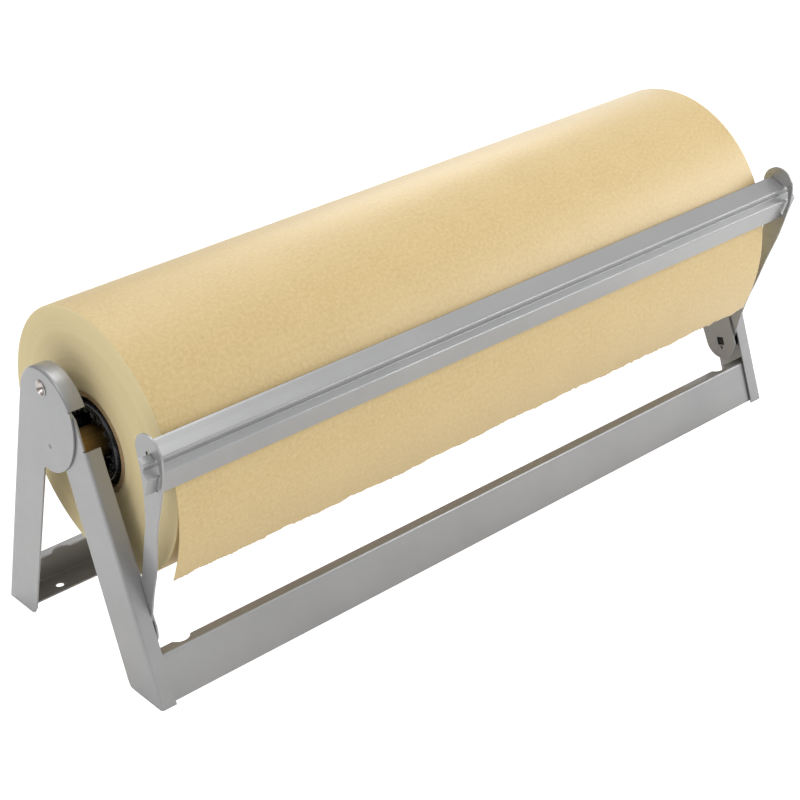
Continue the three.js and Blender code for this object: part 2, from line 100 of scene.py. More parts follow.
HEAD_Y = 12.5
HEAD_Z = 204.0
HEAD_R = leg_high.z - HEAD_Z
LOBE = [                       # the lobe's outline, from the head to the notch at the rear edge
    (-22.0, 212.5), (-22.5, 204.5), (-21.6, 196.0), (-19.2, 187.6), (-15.4, 179.4),
    (-10.6, 172.4), (-4.8, 166.4), (2.2, 161.4), (9.6, 157.8), (17.2, 156.2), (23.4, 156.6),
]
HEAD_TANGENT = 19.05           # where the straight rear edge meets the head, degrees
HEAD_END = 157.0               # where the turned edge stops, degrees
HEAD_STEPS = 56
REAR_LEAN = 0.3453
REAR_WIDTH = 40.0
REAR_FOOT = leg_high.y
FRONT_FOOT = front_low.y
FRONT_LEAN = 0.309
FRONT_REAR_FOOT = FRONT_FOOT + 41.5
FRONT_REAR_LEAN = 0.29
FLANGE_TOP = 189.6
FRONT_FLANGE_X = front_low.x

EYELET_Y = (eyelet_low.y + eyelet_high.y) / 2
EYELET_Z = (eyelet_low.z + eyelet_high.z) / 2
EYELET_HOLE = 4.3
DIMPLE_Y, DIMPLE_Z, DIMPLE_R = 14.0, 178.0, 2.0
DIMPLE_DEPTH = 1.3
HOLE_STEPS = 32                # sides of a round hole

RAIL_H = rail_high.z
RAIL_TOP = 8.6
RAIL_FOOT = 25.0
HOLE_X, HOLE_R = 297.0, 3.5
SCALLOP_X, SCALLOP_R = 294.0, 8.5
SCALLOP_OUT = 3.8              # how far the scallop's centre is off the flange's edge
HOLE_IN = 16.2                 # how far a foot hole is behind the rail's face

PIVOT_Y = (pin_low.y + pin_high.y) / 2
PIVOT_Z = (pin_low.z + pin_high.z) / 2
PIN_R = 4.4
HUB_R = 16.8
SQUARE_HOLE = 7.4
SQUARE_TURN = math.radians(-17.2)
BRACKET_X = bracket_high.x
ARM_T = 1.5
ARM_OUT = arm_low.x + ARM_T
ARM_TOP_OUT = arm_high.x
CRANK_LOW, CRANK_HIGH = 104.0, 164.0
ARM_HEAD_Y, ARM_HEAD_Z, ARM_HEAD_R = -103.8, 214.6, 15.4
HOOK = (-64.0, 73.0)           # hole in the arm for the spring's end

BAR_CORNERS = [                # the bar's outer face, top to foot, some with their own radius
    (-96.5, 220.4), (-98.4, 219.8, 1.2), (-103.4, 217.5, 9.0), (-112.3, 213.7, 1.8),
    (-109.4, 207.7, 0.7), (-114.2, 203.1, 1.8), (-107.1, 185.4),
]
BAR_T = 1.3
BAR_SPANS = 24
TENON_TOP = 216.6
TENON_FOOT = 189.0
WIRE_R = 0.8

TORN_Z = 97.0                  # where the paper is torn off
TAIL_T = 0.22
TAIL_GAP = 0.35                # how far the tail hangs off the roll
TAIL_COLUMNS = 620
TAGS = 46                      # torn corners along its edge

FLOOR_GLOW = 0.15
SHEET_GLOW = 1.05
FLOOR_REACH = 14.0
SKY_LOW = 0.16
SKY_HIGH = 1.28
CAMERA_PLACE = (-0.865391, -1.030097, 0.816458)
CAMERA_TURN, CAMERA_DOWN, CAMERA_TWIST = -0.6863, 0.4936, -0.0533
CAMERA_LENS = 83.42
LIGHTS = [                     # name, place, target, size and power
    ("left", (-2.2, 0.1, 1.9), (-0.3, 0.0, 0.12), 1.2, 8.5),
    ("right_low", (2.7, -1.2, 0.9), (0.1, 0.0, 0.15), 1.2, 33.0),
    ("right_front", (1.75, -2.35, 1.3), (0.0, -0.1, 0.2), 0.5, 14.0),
    ("top_rear", (0.3, 0.7, 2.3), (0.0, 0.0, 0.2), 1.2, 10.0),
    ("rear", (1.7, 2.1, 1.3), (0.1, 0.0, 0.2), 1.0, 15.0),
]


def front_line(z):
    return FRONT_FOOT + FRONT_LEAN * z


def front_rear(z):
    return FRONT_REAR_FOOT + FRONT_REAR_LEAN * z


def rear_line(z):
    return REAR_FOOT - REAR_LEAN * z


# ---------------------------------------------------------------- drawing helpers, in millimetres
def arc(cy, cz, r, start, end, steps):
    """Points on an arc, ends included, angles in degrees."""
    angles = [math.radians(start + (end - start) * i / steps) for i in range(steps + 1)]
    return [(cy + r * math.cos(a), cz + r * math.sin(a)) for a in angles]


def ring(cy, cz, r, steps):
    return arc(cy, cz, r, 0, 360, steps)[:-1]


def filleted(points, radius, steps=5):
    """An open line with rounded inner corners. A point may carry its own radius third."""
    line = [Vector(points[0][:2])]
    for i in range(1, len(points) - 1):
        corner = Vector(points[i][:2])
        r = points[i][2] if len(points[i]) > 2 else radius
        before = Vector(points[i - 1][:2]) - corner
        after = Vector(points[i + 1][:2]) - corner
        half = before.angle(after) / 2
        reach = min(r / math.tan(half), before.length * 0.48, after.length * 0.48)
        a = corner + before.normalized() * reach
        b = corner + after.normalized() * reach
        for k in range(steps + 1):
            t = k / steps
            line.append(a * (1 - t) ** 2 + corner * 2 * t * (1 - t) + b * t ** 2)
    line.append(Vector(points[-1][:2]))
    return [(p.x, p.y) for p in line]


def smooth_line(points, per_span=4):
    """A Catmull-Rom line through the points, in two or three dimensions."""
    given = [Vector(p) for p in points]
    given = [given[0] * 2 - given[1]] + given + [given[-1] * 2 - given[-2]]
    line = []
    for i in range(1, len(given) - 2):
        a, b, c, d = given[i - 1:i + 3]
        for k in range(per_span):
            t = k / per_span
            square = (a * 2 - b * 5 + c * 4 - d) * t * t
            cube = (b * 3 - a - c * 3 + d) * t ** 3
            line.append(((b * 2) + (c - a) * t + square + cube) * 0.5)
    line.append(given[-2])
    return [tuple(p) for p in line]


def turned(points):
    """Points about the pivot, turned as the leaning bracket is."""
    c, s = math.cos(SQUARE_TURN), math.sin(SQUARE_TURN)
    return [(PIVOT_Y + y * c - z * s, PIVOT_Z + y * s + z * c) for y, z in points]


class Sheet:
    """Collects the faces of one surface or solid, in millimetres."""

    def __init__(self):
        self.verts = []
        self.faces = []

    def grid(self, rows, closed=False):
        base = len(self.verts)
        width = len(rows[0])
        for row in rows:
            self.verts.extend(row)
        spans = width if closed else width - 1
        for i in range(len(rows) - 1):
            for j in range(spans):
                k = (j + 1) % width
                a, b = base + i * width, base + (i + 1) * width
                self.faces.append((a + j, a + k, b + k, b + j))

    def flat(self, loops, place):
        """Fills an outline with holes. place turns a 2-D point into a 3-D one."""
        base = len(self.verts)
        flat_loops = [[Vector((p[0], p[1], 0)) for p in loop] for loop in loops]
        for loop in loops:
            self.verts.extend(place(p) for p in loop)
        for triangle in tessellate_polygon(flat_loops):
            self.faces.append(tuple(base + i for i in triangle))

    def lathe(self, profile, steps, cy, cz, flip=1):
        """Turns (x, radius) points round an axis along X. The profile closes on itself."""
        rows = []
        for x, r in profile:
            rows.append([
                (flip * x, cy + r * math.cos(a), cz + r * math.sin(a))
                for a in (2 * math.pi * k / steps for k in range(steps))
            ])
        rows.append(rows[0])
        self.grid(rows, closed=True)

    def prism(self, loops, x0, x1):
        """A plate between two planes across X, its outline and holes in (y, z)."""
        for x in (x0, x1):
            self.flat(loops, lambda p, x=x: (x, p[0], p[1]))
        for loop in loops:
            closed = list(loop) + [loop[0]]
            self.grid([[(x0, p[0], p[1]) for p in closed], [(x1, p[0], p[1]) for p in closed]])

    def object(self, name, side=-1, facing=None):
        """Makes the mesh. Shapes are drawn for the left side, and side 1 mirrors them."""
        flip = -side
        mesh = bpy.data.meshes.new(name)
        bm = bmesh.new()
        made = [bm.verts.new((flip * x * MM, y * MM, z * MM)) for x, y, z in self.verts]
        for face in self.faces:
            try:
                bm.faces.new([made[i] for i in face])
            except ValueError:
                continue
        bmesh.ops.remove_doubles(bm, verts=bm.verts, dist=0.004 * MM)
        bmesh.ops.dissolve_degenerate(bm, edges=bm.edges, dist=0.002 * MM)
        bmesh.ops.recalc_face_normals(bm, faces=bm.faces)
        if facing is not None:
            want = Vector((flip * facing[0], facing[1], facing[2]))
            if sum(f.normal.dot(want) * f.calc_area() for f in bm.faces) < 0:
                bmesh.ops.reverse_faces(bm, faces=bm.faces)
        bm.to_mesh(mesh)
        bm.free()
        for polygon in mesh.polygons:
            polygon.use_smooth = True
        made_object = bpy.data.objects.new(name, mesh)
        bpy.context.scene.collection.objects.link(made_object)
        return made_object


def thicken(piece, thickness):
    m = piece.modifiers.new("thickness", "SOLIDIFY")
    m.thickness = thickness * MM
    m.offset = -1
    m.use_even_offset = True
    m.use_quality_normals = True


def soften(piece, width=0.25, segments=2, angle=40):
    """Breaks the cut edges and keeps the flats flat."""
    m = piece.modifiers.new("broken_edges", "BEVEL")
    m.width = width * MM
    m.segments = segments
    m.limit_method = "ANGLE"
    m.angle_limit = math.radians(angle)
    m.harden_normals = False
    n = piece.modifiers.new("flat_faces", "WEIGHTED_NORMAL")
    n.mode = "FACE_AREA"
    n.weight = 80
    n.keep_sharp = False


def finish_piece(piece, material, body, slot, *nodes):
    piece.data.materials.append(material)
    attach(piece, body)
    if nodes:
        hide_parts(*nodes)


# ---------------------------------------------------------------- materials
class Graph:
    """A small wrapper that makes node materials readable."""

    def __init__(self, name):
        self.material = bpy.data.materials.new(name)
        self.material.use_nodes = True
        self.tree = self.material.node_tree
        self.tree.nodes.clear()
        self.out = self.tree.nodes.new("ShaderNodeOutputMaterial")
        self.shader = self.tree.nodes.new("ShaderNodeBsdfPrincipled")
        self.link(self.shader.outputs[0], self.out.inputs["Surface"])
        self.place = self.tree.nodes.new("ShaderNodeTexCoord").outputs["Object"]

    def link(self, a, b):
        self.tree.links.new(a, b)

    def set(self, **values):
        for key, value in values.items():
            self.shader.inputs[key.replace("_", " ")].default_value = value

    def scaled(self, scale, source=None):
        node = self.tree.nodes.new("ShaderNodeMapping")
        node.inputs["Scale"].default_value = scale
        self.link(source or self.place, node.inputs["Vector"])
        return node.outputs[0]

    def noise(self, scale, detail=3.0, roughness=0.55, source=None):
        node = self.tree.nodes.new("ShaderNodeTexNoise")
        node.inputs["Scale"].default_value = scale
        node.inputs["Detail"].default_value = detail
        node.inputs["Roughness"].default_value = roughness
        self.link(source or self.place, node.inputs["Vector"])
        return node.outputs["Fac"]

    def ramp(self, source, low, high, a=0.0, b=1.0):
        """Stretches source from low..high to a..b."""
        node = self.tree.nodes.new("ShaderNodeMapRange")
        node.inputs["From Min"].default_value = low
        node.inputs["From Max"].default_value = high
        node.inputs["To Min"].default_value = a
        node.inputs["To Max"].default_value = b
        self.link(source, node.inputs["Value"])
        return node.outputs["Result"]

    def tone(self, scale, detail=3.0, a=0.0, b=1.0):
        """Noise whose middle is stretched to a..b."""
        return self.ramp(self.noise(scale, detail), 0.3, 0.7, a, b)

    def mix(self, factor, a, b):
        node = self.tree.nodes.new("ShaderNodeMix")
        node.data_type = "RGBA"
        for socket, value in (("Factor", factor), ("A", a), ("B", b)):
            self.fill(node.inputs[socket], value)
        return node.outputs["Result"]

    def fill(self, socket, value):
        if isinstance(value, bpy.types.NodeSocket):
            self.link(value, socket)
        else:
            socket.default_value = (*value, 1.0) if isinstance(value, tuple) else value

    def math(self, operation, a, b=None):
        node = self.tree.nodes.new("ShaderNodeMath")
        node.operation = operation
        self.fill(node.inputs[0], a)
        if b is not None:
            self.fill(node.inputs[1], b)
        return node.outputs[0]

    def times(self, a, b):
        return self.math("MULTIPLY", a, b)

    def parts(self):
        node = self.tree.nodes.new("ShaderNodeSeparateXYZ")
        self.link(self.place, node.inputs[0])
        return node.outputs

    def combine(self, x, y, z):
        node = self.tree.nodes.new("ShaderNodeCombineXYZ")
        for socket, value in zip(node.inputs, (x, y, z)):
            self.fill(socket, value)
        return node.outputs[0]

    def bump(self, height, strength, distance, normal=None):
        node = self.tree.nodes.new("ShaderNodeBump")
        node.inputs["Strength"].default_value = strength
        node.inputs["Distance"].default_value = distance * MM
        self.link(height, node.inputs["Height"])
        if normal is not None:
            self.link(normal, node.inputs["Normal"])
        return node.outputs[0]

    def base(self, value):
        self.fill(self.shader.inputs["Base Color"], value)

    def rough(self, value):
        self.link(value, self.shader.inputs["Roughness"])

    def normal(self, value):
        self.link(value, self.shader.inputs["Normal"])


def enamel_material():
    g = Graph("grey_enamel")
    g.set(Metallic=0.55, Coat_Weight=0.4, Coat_Roughness=0.12)
    cloud = g.tone(14.0)
    fleck = g.ramp(g.noise(2600.0, 2.0), 0.35, 0.65)
    colour = g.mix(cloud, (0.325, 0.327, 0.331), (0.366, 0.367, 0.370))
    g.base(g.mix(g.times(fleck, 0.22), colour, (0.45, 0.45, 0.455)))
    g.rough(g.tone(90.0, 4.0, 0.30, 0.37))
    peel = g.bump(g.noise(620.0, 2.0), 0.12, 0.05)
    g.normal(g.bump(g.noise(2600.0, 1.0), 0.10, 0.02, peel))
    return g.material


def plated_material():
    g = Graph("bright_plating")
    g.set(Metallic=1.0)
    g.base(g.mix(g.tone(160.0), (0.52, 0.47, 0.44), (0.66, 0.61, 0.58)))
    g.rough(g.tone(500.0, 3.0, 0.16, 0.28))
    g.normal(g.bump(g.noise(900.0, 2.0), 0.08, 0.03))
    return g.material


def tube_material():
    # Plated tube: its base colour is darkened and browned as a painted reflection of the kraft roll
    # and painted shade, on top of a yellow zinc tint.
    g = Graph("zinc_tube_with_painted_reflection")
    g.set(Metallic=0.75)
    streaks = g.ramp(g.noise(1.0, 4.0, 0.6, g.scaled((9.0, 240.0, 240.0))), 0.3, 0.7)
    # the dark brown here is partly the zinc's tint and partly a painted reflection of the kraft and
    # painted shade
    g.base(g.mix(streaks, (0.26, 0.150, 0.036), (0.36, 0.225, 0.070)))
    g.rough(g.tone(260.0, 3.0, 0.30, 0.44))
    lines = g.noise(1.0, 3.0, 0.6, g.scaled((30.0, 1500.0, 1500.0)))
    g.normal(g.bump(lines, 0.12, 0.03))
    return g.material


def spring_material():
    g = Graph("spring_wire")
    g.set(Metallic=1.0)
    g.base(g.mix(g.tone(420.0), (0.30, 0.30, 0.31), (0.46, 0.46, 0.47)))
    g.rough(g.tone(700.0, 2.0, 0.24, 0.38))
    g.normal(g.bump(g.noise(1800.0, 2.0), 0.10, 0.02))
    return g.material


def blackened_material():
    g = Graph("blackened_steel")
    g.set(Metallic=0.8)
    g.base(g.mix(g.tone(300.0, 4.0), (0.030, 0.030, 0.033), (0.075, 0.073, 0.072)))
    g.rough(g.tone(500.0, 3.0, 0.34, 0.5))
    g.normal(g.bump(g.noise(1400.0, 2.0), 0.15, 0.03))
    return g.material


def plastic_material():
    g = Graph("black_plastic")
    g.set(Specular_IOR_Level=0.6)
    g.base(g.mix(g.tone(220.0), (0.010, 0.010, 0.012), (0.028, 0.028, 0.031)))
    g.rough(g.tone(420.0, 3.0, 0.16, 0.34))
    dents = g.bump(g.noise(150.0, 2.0), 0.55, 0.6)
    g.normal(g.bump(g.noise(2200.0, 1.0), 0.10, 0.02, dents))
    return g.material


def kraft(g, around, along):
    """Unbleached paper: slow clouds, mottle, fibres and specks, on two coordinates in metres."""
    flat = g.combine(along, around, 0.0)
    clouds = g.ramp(g.noise(26.0, 4.0, 0.6, flat), 0.28, 0.72)
    mottle = g.ramp(g.noise(330.0, 4.0, 0.62, flat), 0.3, 0.7)
    fibres = g.ramp(g.noise(1.0, 4.0, 0.65, g.scaled((620.0, 2400.0, 1.0), flat)), 0.34, 0.66)
    specks = g.ramp(g.noise(1500.0, 2.0, 0.5, flat), 0.66, 0.74)
    colour = g.mix(clouds, (0.560, 0.396, 0.155), (0.620, 0.452, 0.193))
    colour = g.mix(g.times(mottle, 0.85), colour, (0.722, 0.557, 0.268))
    colour = g.mix(g.times(fibres, 0.30), colour, (0.500, 0.340, 0.133))
    g.base(g.mix(g.times(specks, 0.35), colour, (0.36, 0.21, 0.08)))
    height = g.math("ADD", g.times(mottle, 0.6), g.times(fibres, 0.4))
    g.set(Sheen_Weight=0.3, Sheen_Roughness=0.4, Specular_IOR_Level=0.8)
    g.rough(g.ramp(height, 0.2, 0.8, 0.42, 0.56))
    g.normal(g.bump(height, 0.35, 0.05))


def kraft_material():
    """The paper on the roll: its fibres run round the axle."""
    g = Graph("kraft_paper")
    x, y, z = g.parts()
    rise = g.math("SUBTRACT", z, AXLE_Z * MM)
    around = g.times(g.math("ARCTAN2", rise, g.times(y, -1.0)), ROLL_R * MM)
    kraft(g, around, x)
    return g.material


def tail_material():
    """The same paper where it hangs free."""
    g = Graph("kraft_sheet")
    x, _, z = g.parts()
    kraft(g, z, x)
    return g.material


def roll_end_material():
    """The cut edges of the wound web: pale, with fine rings where the winding changed."""
    g = Graph("roll_end")
    _, y, z = g.parts()
    rise = g.math("SUBTRACT", z, AXLE_Z * MM)
    radius = g.math("SQRT", g.math("ADD", g.times(y, y), g.times(rise, rise)))
    drift = g.times(g.noise(9.0, 2.0), 0.0035)
    wound = g.combine(g.math("ADD", radius, drift), 0.0, 0.0)
    fine = g.ramp(g.noise(1400.0, 3.0, 0.6, wound), 0.3, 0.7)
    broad = g.ramp(g.noise(130.0, 3.0, 0.6, wound), 0.32, 0.68)
    dust = g.tone(420.0, 4.0)
    colour = g.mix(broad, (0.770, 0.625, 0.315), (0.820, 0.690, 0.380))
    colour = g.mix(g.times(fine, 0.25), colour, (0.67, 0.52, 0.26))
    g.base(g.mix(g.times(dust, 0.18), colour, (0.85, 0.76, 0.56)))
    g.set(Sheen_Weight=0.2, Sheen_Roughness=0.5, Specular_IOR_Level=0.2)
    g.rough(g.ramp(fine, 0.0, 1.0, 0.72, 0.85))
    rings = g.bump(fine, 0.3, 0.05)
    g.normal(g.bump(dust, 0.25, 0.08, rings))
    return g.material


def board_material():
    """Spiral wound board: brown fibre with a dark seam that winds along the core."""
    g = Graph("core_board")
    x, y, z = g.parts()
    rise = g.math("SUBTRACT", z, AXLE_Z * MM)
    turn = g.math("ARCTAN2", rise, y)
    advance = g.times(x, 2 * math.pi / 0.11)
    seam = g.math("ABSOLUTE", g.math("SINE", g.times(g.math("ADD", turn, advance), 0.5)))
    gap = g.ramp(seam, 0.0, 0.02, 1.0, 0.0)
    fibre = g.ramp(g.noise(700.0, 4.0, 0.6), 0.3, 0.7)
    colour = g.mix(fibre, (0.36, 0.240, 0.120), (0.50, 0.360, 0.200))
    g.base(g.mix(g.times(gap, 0.6), colour, (0.12, 0.075, 0.035)))
    g.set(Specular_IOR_Level=0.2)
    g.rough(g.ramp(fibre, 0.0, 1.0, 0.78, 0.9))
    g.normal(g.bump(g.math("SUBTRACT", fibre, gap), 0.4, 0.1))
    return g.material


ENAMEL = enamel_material()
PLATED = plated_material()
TUBE = tube_material()
SPRING = spring_material()
BLACKENED = blackened_material()
PLASTIC = plastic_material()
KRAFT = kraft_material()
KRAFT_SHEET = tail_material()
ROLL_END = roll_end_material()
BOARD = board_material()


# ---------------------------------------------------------------- end frames
def bend_rows(path, normals, x_face, reach):
    """A 90 degree bend and its flange along path, from the plate to the flange's free edge."""
    rows = []
    for k in range(BEND_STEPS + 1):
        turn = math.pi / 2 * k / BEND_STEPS
        inset = BEND * (1 - math.sin(turn))
        x = x_face + BEND * (1 - math.cos(turn))
        rows.append([(x, p[0] - n[0] * inset, p[1] - n[1] * inset) for p, n in zip(path, normals)])
    rows.append([(x_face + reach, p[0], p[1]) for p in path])
    return rows


def rear_leg(side, name):
    lean = math.hypot(1, REAR_LEAN)
    head = arc(HEAD_Y, HEAD_Z, HEAD_R, HEAD_TANGENT, HEAD_END, HEAD_STEPS)
    path = [(REAR_FOOT, 0.0)] + head
    normals = [(lean, 0.0)]
    normals += [((p[0] - HEAD_Y) / HEAD_R, (p[1] - HEAD_Z) / HEAD_R) for p in head]
    rows = bend_rows(path, normals, -HALF, FLANGE)
    foot = rear_line(0) - REAR_WIDTH
    outline = [(p[1], p[2]) for p in rows[0]]
    head_end = arc(HEAD_Y, HEAD_Z, HEAD_R, HEAD_END + 1.5, HEAD_END + 4.0, 1)
    outline += smooth_line(head_end + LOBE, 5)
    outline += filleted([LOBE[-1], (27.4, 155.2), (rear_line(7) - REAR_WIDTH, 7)], 2.0)[1:]
    outline += arc(foot + 5.2, 5.2, 5.2, 200, 270, 6)
    sheet = Sheet()
    holes = [ring(EYELET_Y, EYELET_Z, EYELET_HOLE, HOLE_STEPS),
             ring(DIMPLE_Y, DIMPLE_Z, DIMPLE_R, 20)]
    sheet.flat([outline] + holes, lambda p: (-HALF, p[0], p[1]))
    sheet.grid(rows)
    dimple = []
    for share, depth in ((1.0, 0.0), (0.85, 0.45), (0.5, 1.1), (0.2, DIMPLE_DEPTH)):
        circle = ring(DIMPLE_Y, DIMPLE_Z, DIMPLE_R * share, 20)
        dimple.append([(-HALF + depth, p[0], p[1]) for p in circle])
    sheet.grid(dimple, closed=True)
    sheet.flat([[(p[1], p[2]) for p in dimple[-1]]],
               lambda p: (-HALF + DIMPLE_DEPTH, p[0], p[1]))
    piece = sheet.object(name, side, facing=(-1, 0.05, 0.02))
    thicken(piece, SHEET)
    soften(piece)
    return piece


def front_leg(side, name):
    skin = -(HALF - SHEET - GAP)
    lean = math.hypot(1, FRONT_LEAN)
    path = [(front_line(z), z) for z in (0.0, 90.0, FLANGE_TOP)]
    normals = [(-lean, 0.0), (-1 / lean, FRONT_LEAN / lean), (-lean, 0.0)]
    rows = bend_rows(path, normals, skin, -FRONT_FLANGE_X - skin)
    crown = HEAD_R - SHEET - GAP - 0.2
    outline = [(p[1], p[2]) for p in rows[0]]
    outline += [(front_line(z) + 0.4, z) for z in (FLANGE_TOP + 1.2, 212.5)]
    outline += arc(HEAD_Y, HEAD_Z, crown, 160, -40, 40)
    ankle = (front_rear(6), 6)
    outline += filleted([(24.0, 176.0), (10, 172), (front_rear(164), 164), ankle], 4.0)[1:]
    outline += filleted([ankle, (front_rear(0) - 0.6, 0.4), (front_rear(0) - 6, 0)], 4.0)[1:]
    sheet = Sheet()
    hole = ring(EYELET_Y, EYELET_Z, EYELET_HOLE, HOLE_STEPS)
    sheet.flat([outline, hole], lambda p: (skin, p[0], p[1]))
    sheet.grid(rows)
    piece = sheet.object(name, side, facing=(-1, -0.05, 0.02))
    thicken(piece, SHEET)
    soften(piece)
    return piece


def inner_bracket(side, name):
    bore = TUBE_R + 0.08
    outline = arc(PIVOT_Y, PIVOT_Z, HUB_R, 164, 342, 40)
    outline += filleted([outline[-1], (AXLE_Y + 8, AXLE_Z - 21), (AXLE_Y + 16, AXLE_Z - 14, 6.0),
                         (AXLE_Y + 19.5, AXLE_Z - 5, 6.0), (AXLE_Y + 19.5, AXLE_Z + 13),
                         (AXLE_Y + bore, AXLE_Z + 13)], 2.0)[1:]
    outline += arc(AXLE_Y, AXLE_Z, bore, 0, -174.5, 44)
    outline += filleted([outline[-1], (AXLE_Y - 20, AXLE_Z - 1), (AXLE_Y - 31, AXLE_Z - 10, 8.0),
                         outline[0]], 3.0)[1:-1]
    s = SQUARE_HOLE / 2
    square = turned(filleted([(0, -s), (s, -s), (s, s), (-s, s), (-s, -s), (0, -s)], 0.5)[:-1])
    slot = turned([(-1.0, -7.6), (1.0, -7.6), (1.0, -4.6), (-1.0, -4.6)])
    sheet = Sheet()
    sheet.prism([outline, square, slot], -BRACKET_X, -BRACKET_X + SHEET)
    piece = sheet.object(name, side)
    soften(piece, 0.35, 3)
    return piece


# ---------------------------------------------------------------- rails
def rail(name, line, lean, run, half):
    """A folded channel. line is its face at the counter, and its flanges go towards run * Y."""

    def web(z):
        return line + run * lean * z

    corners = [(web(0) + run * RAIL_FOOT, 0.0), (web(0), 0.0), (web(RAIL_H), RAIL_H),
               (web(RAIL_H) + run * RAIL_TOP, RAIL_H)]
    profile = filleted(corners, BEND, BEND_STEPS)
    steps = BEND_STEPS + 1
    low_bend, high_bend = profile[1:1 + steps], profile[1 + steps:1 + 2 * steps]
    sheet = Sheet()
    for strip in (low_bend, [low_bend[-1], high_bend[0]], high_bend):
        sheet.grid([[(-half, *p) for p in strip], [(half, *p) for p in strip]])
    foot_in, foot_out = low_bend[0][0], corners[0][0]
    corner = 3.0 * run
    foot = [(-half, foot_in), (half, foot_in), (half, foot_out - corner), (half - 3.0, foot_out),
            (-half + 3.0, foot_out), (-half, foot_out - corner)]
    holes = [ring(s * HOLE_X, line + run * HOLE_IN, HOLE_R, HOLE_STEPS) for s in (-1, 1)]
    sheet.flat([foot] + holes, lambda p: (p[0], p[1], 0.0))
    top_in, top_out = high_bend[-1][0], corners[-1][0]
    centre = top_out + run * SCALLOP_OUT
    spread = run * math.degrees(math.acos(SCALLOP_OUT / SCALLOP_R))
    middle = -90 * run
    top = [(-half, top_in), (half, top_in), (half, top_out - 2.5 * run), (half - 2.0, top_out)]
    for s in (1, -1):
        top += arc(s * SCALLOP_X, centre, SCALLOP_R, middle + spread, middle - spread, 18)
    top += [(-half + 2.0, top_out), (-half, top_out - 2.5 * run)]
    sheet.flat([top], lambda p: (p[0], p[1], RAIL_H))
    piece = sheet.object(name, -1, facing=(0, -run, 0))
    thicken(piece, SHEET)
    soften(piece, 0.2)
    return piece


# ---------------------------------------------------------------- swing arms, tear bar, blade
def crank(z):
    """How far outboard the arm stands at z: its upper part is set off past the front leg."""
    share = min(1.0, max(0.0, (z - CRANK_LOW) / (CRANK_HIGH - CRANK_LOW)))
    soft = share * share * (3 - 2 * share)
    return (ARM_TOP_OUT - ARM_OUT) * (0.7 * share + 0.3 * soft)


def swing_arm(side, name):
    outline = arc(PIVOT_Y, PIVOT_Z, 11.5, 190, 345, 18)
    rear = [outline[-1], (-50, 66), (-56.5, 80), (-63.6, 98), (-71.4, 118), (-79.6, 137),
            (-87.6, 156), (-90.2, 172), (-91.2, 186), (-90.6, 198)]
    outline += smooth_line(rear)[1:]
    outline += arc(ARM_HEAD_Y, ARM_HEAD_Z, ARM_HEAD_R, -6, 180, 44)
    front = [outline[-1], (-118.8, 209), (-117.9, 203), (-116.2, 196), (-113.4, 187), (-110, 177),
             (-106, 166.6), (-101.6, 156), (-96.2, 142.4), (-88.4, 120), (-80.8, 101), (-74, 81),
             outline[0]]
    outline += smooth_line(front)[1:-1]
    window = filleted([(-108.6, 216.2), (-113.2, 214.9), (-114.8, 212.4), (-115.2, 202),
                       (-110.0, 188.7), (-107.2, 188.7), (-107.8, 200), (-105.6, 211),
                       (-105.2, 216.9), (-108.6, 216.2)], 0.7, 4)
    eye = ring(-102.6, 215.2, 2.0, 24)
    pin_hole = ring(PIVOT_Y, PIVOT_Z, PIN_R + 0.08, HOLE_STEPS)
    loops = [outline, window[:-1], eye, pin_hole, ring(*HOOK, 1.4, 16)]
    sheet = Sheet()
    sheet.prism(loops, -ARM_OUT, -ARM_OUT + ARM_T)
    piece = sheet.object(name, side)
    bend_arm(piece.data, side)
    soften(piece, 0.4, 3)
    return piece


def bend_arm(mesh, side):
    """Cuts the flat arm across at small steps, then sets its upper part outboard."""
    bm = bmesh.new()
    bm.from_mesh(mesh)
    steps = 12
    for i in range(steps + 1):
        z = CRANK_LOW + (CRANK_HIGH - CRANK_LOW) * i / steps
        everything = bm.verts[:] + bm.edges[:] + bm.faces[:]
        bmesh.ops.bisect_plane(bm, geom=everything, plane_co=(0, 0, z * MM), plane_no=(0, 0, 1))
    for vert in bm.verts:
        vert.co.x += side * crank(vert.co.z / MM) * MM
    bm.to_mesh(mesh)
    bm.free()
    for polygon in mesh.polygons:
        polygon.use_smooth = True


def tear_bar(name):
    profile = filleted(BAR_CORNERS, 1.0, 5)
    shoulder = ARM_TOP_OUT - ARM_T - GAP
    sheet = Sheet()
    stations = [-shoulder + 2 * shoulder * i / BAR_SPANS for i in range(BAR_SPANS + 1)]
    sheet.grid([[(x, *p) for p in profile] for x in stations])
    tenon = cut_line(profile, TENON_FOOT, TENON_TOP)
    for s in (-1, 1):
        sheet.grid([[(s * x, *p) for p in tenon] for x in (shoulder, (shoulder + HALF) / 2, HALF)])
    piece = sheet.object(name, -1, facing=(0, -1, 0.2))
    thicken(piece, BAR_T)
    soften(piece, 0.2)
    return piece


def cut_line(line, low, high):
    """The part of a falling line between two heights, with its ends exactly there."""
    kept = []
    for a, b in zip(line, line[1:]):
        for height in (high, low):
            if a[1] > height >= b[1]:
                share = (a[1] - height) / (a[1] - b[1])
                kept.append((a[0] + (b[0] - a[0]) * share, height))
        if low < b[1] < high:
            kept.append(b)
    return kept


def tear_blade(name):
    section = [(-110.7, 199.6), (-109.9, 199.9), (-104.5, 185.0), (-104.15, 183.2), (-105.0, 183.9)]
    sheet = Sheet()
    sheet.prism([section], -blade_high.x, blade_high.x)
    piece = sheet.object(name)
    soften(piece, 0.05, 1)
    return piece


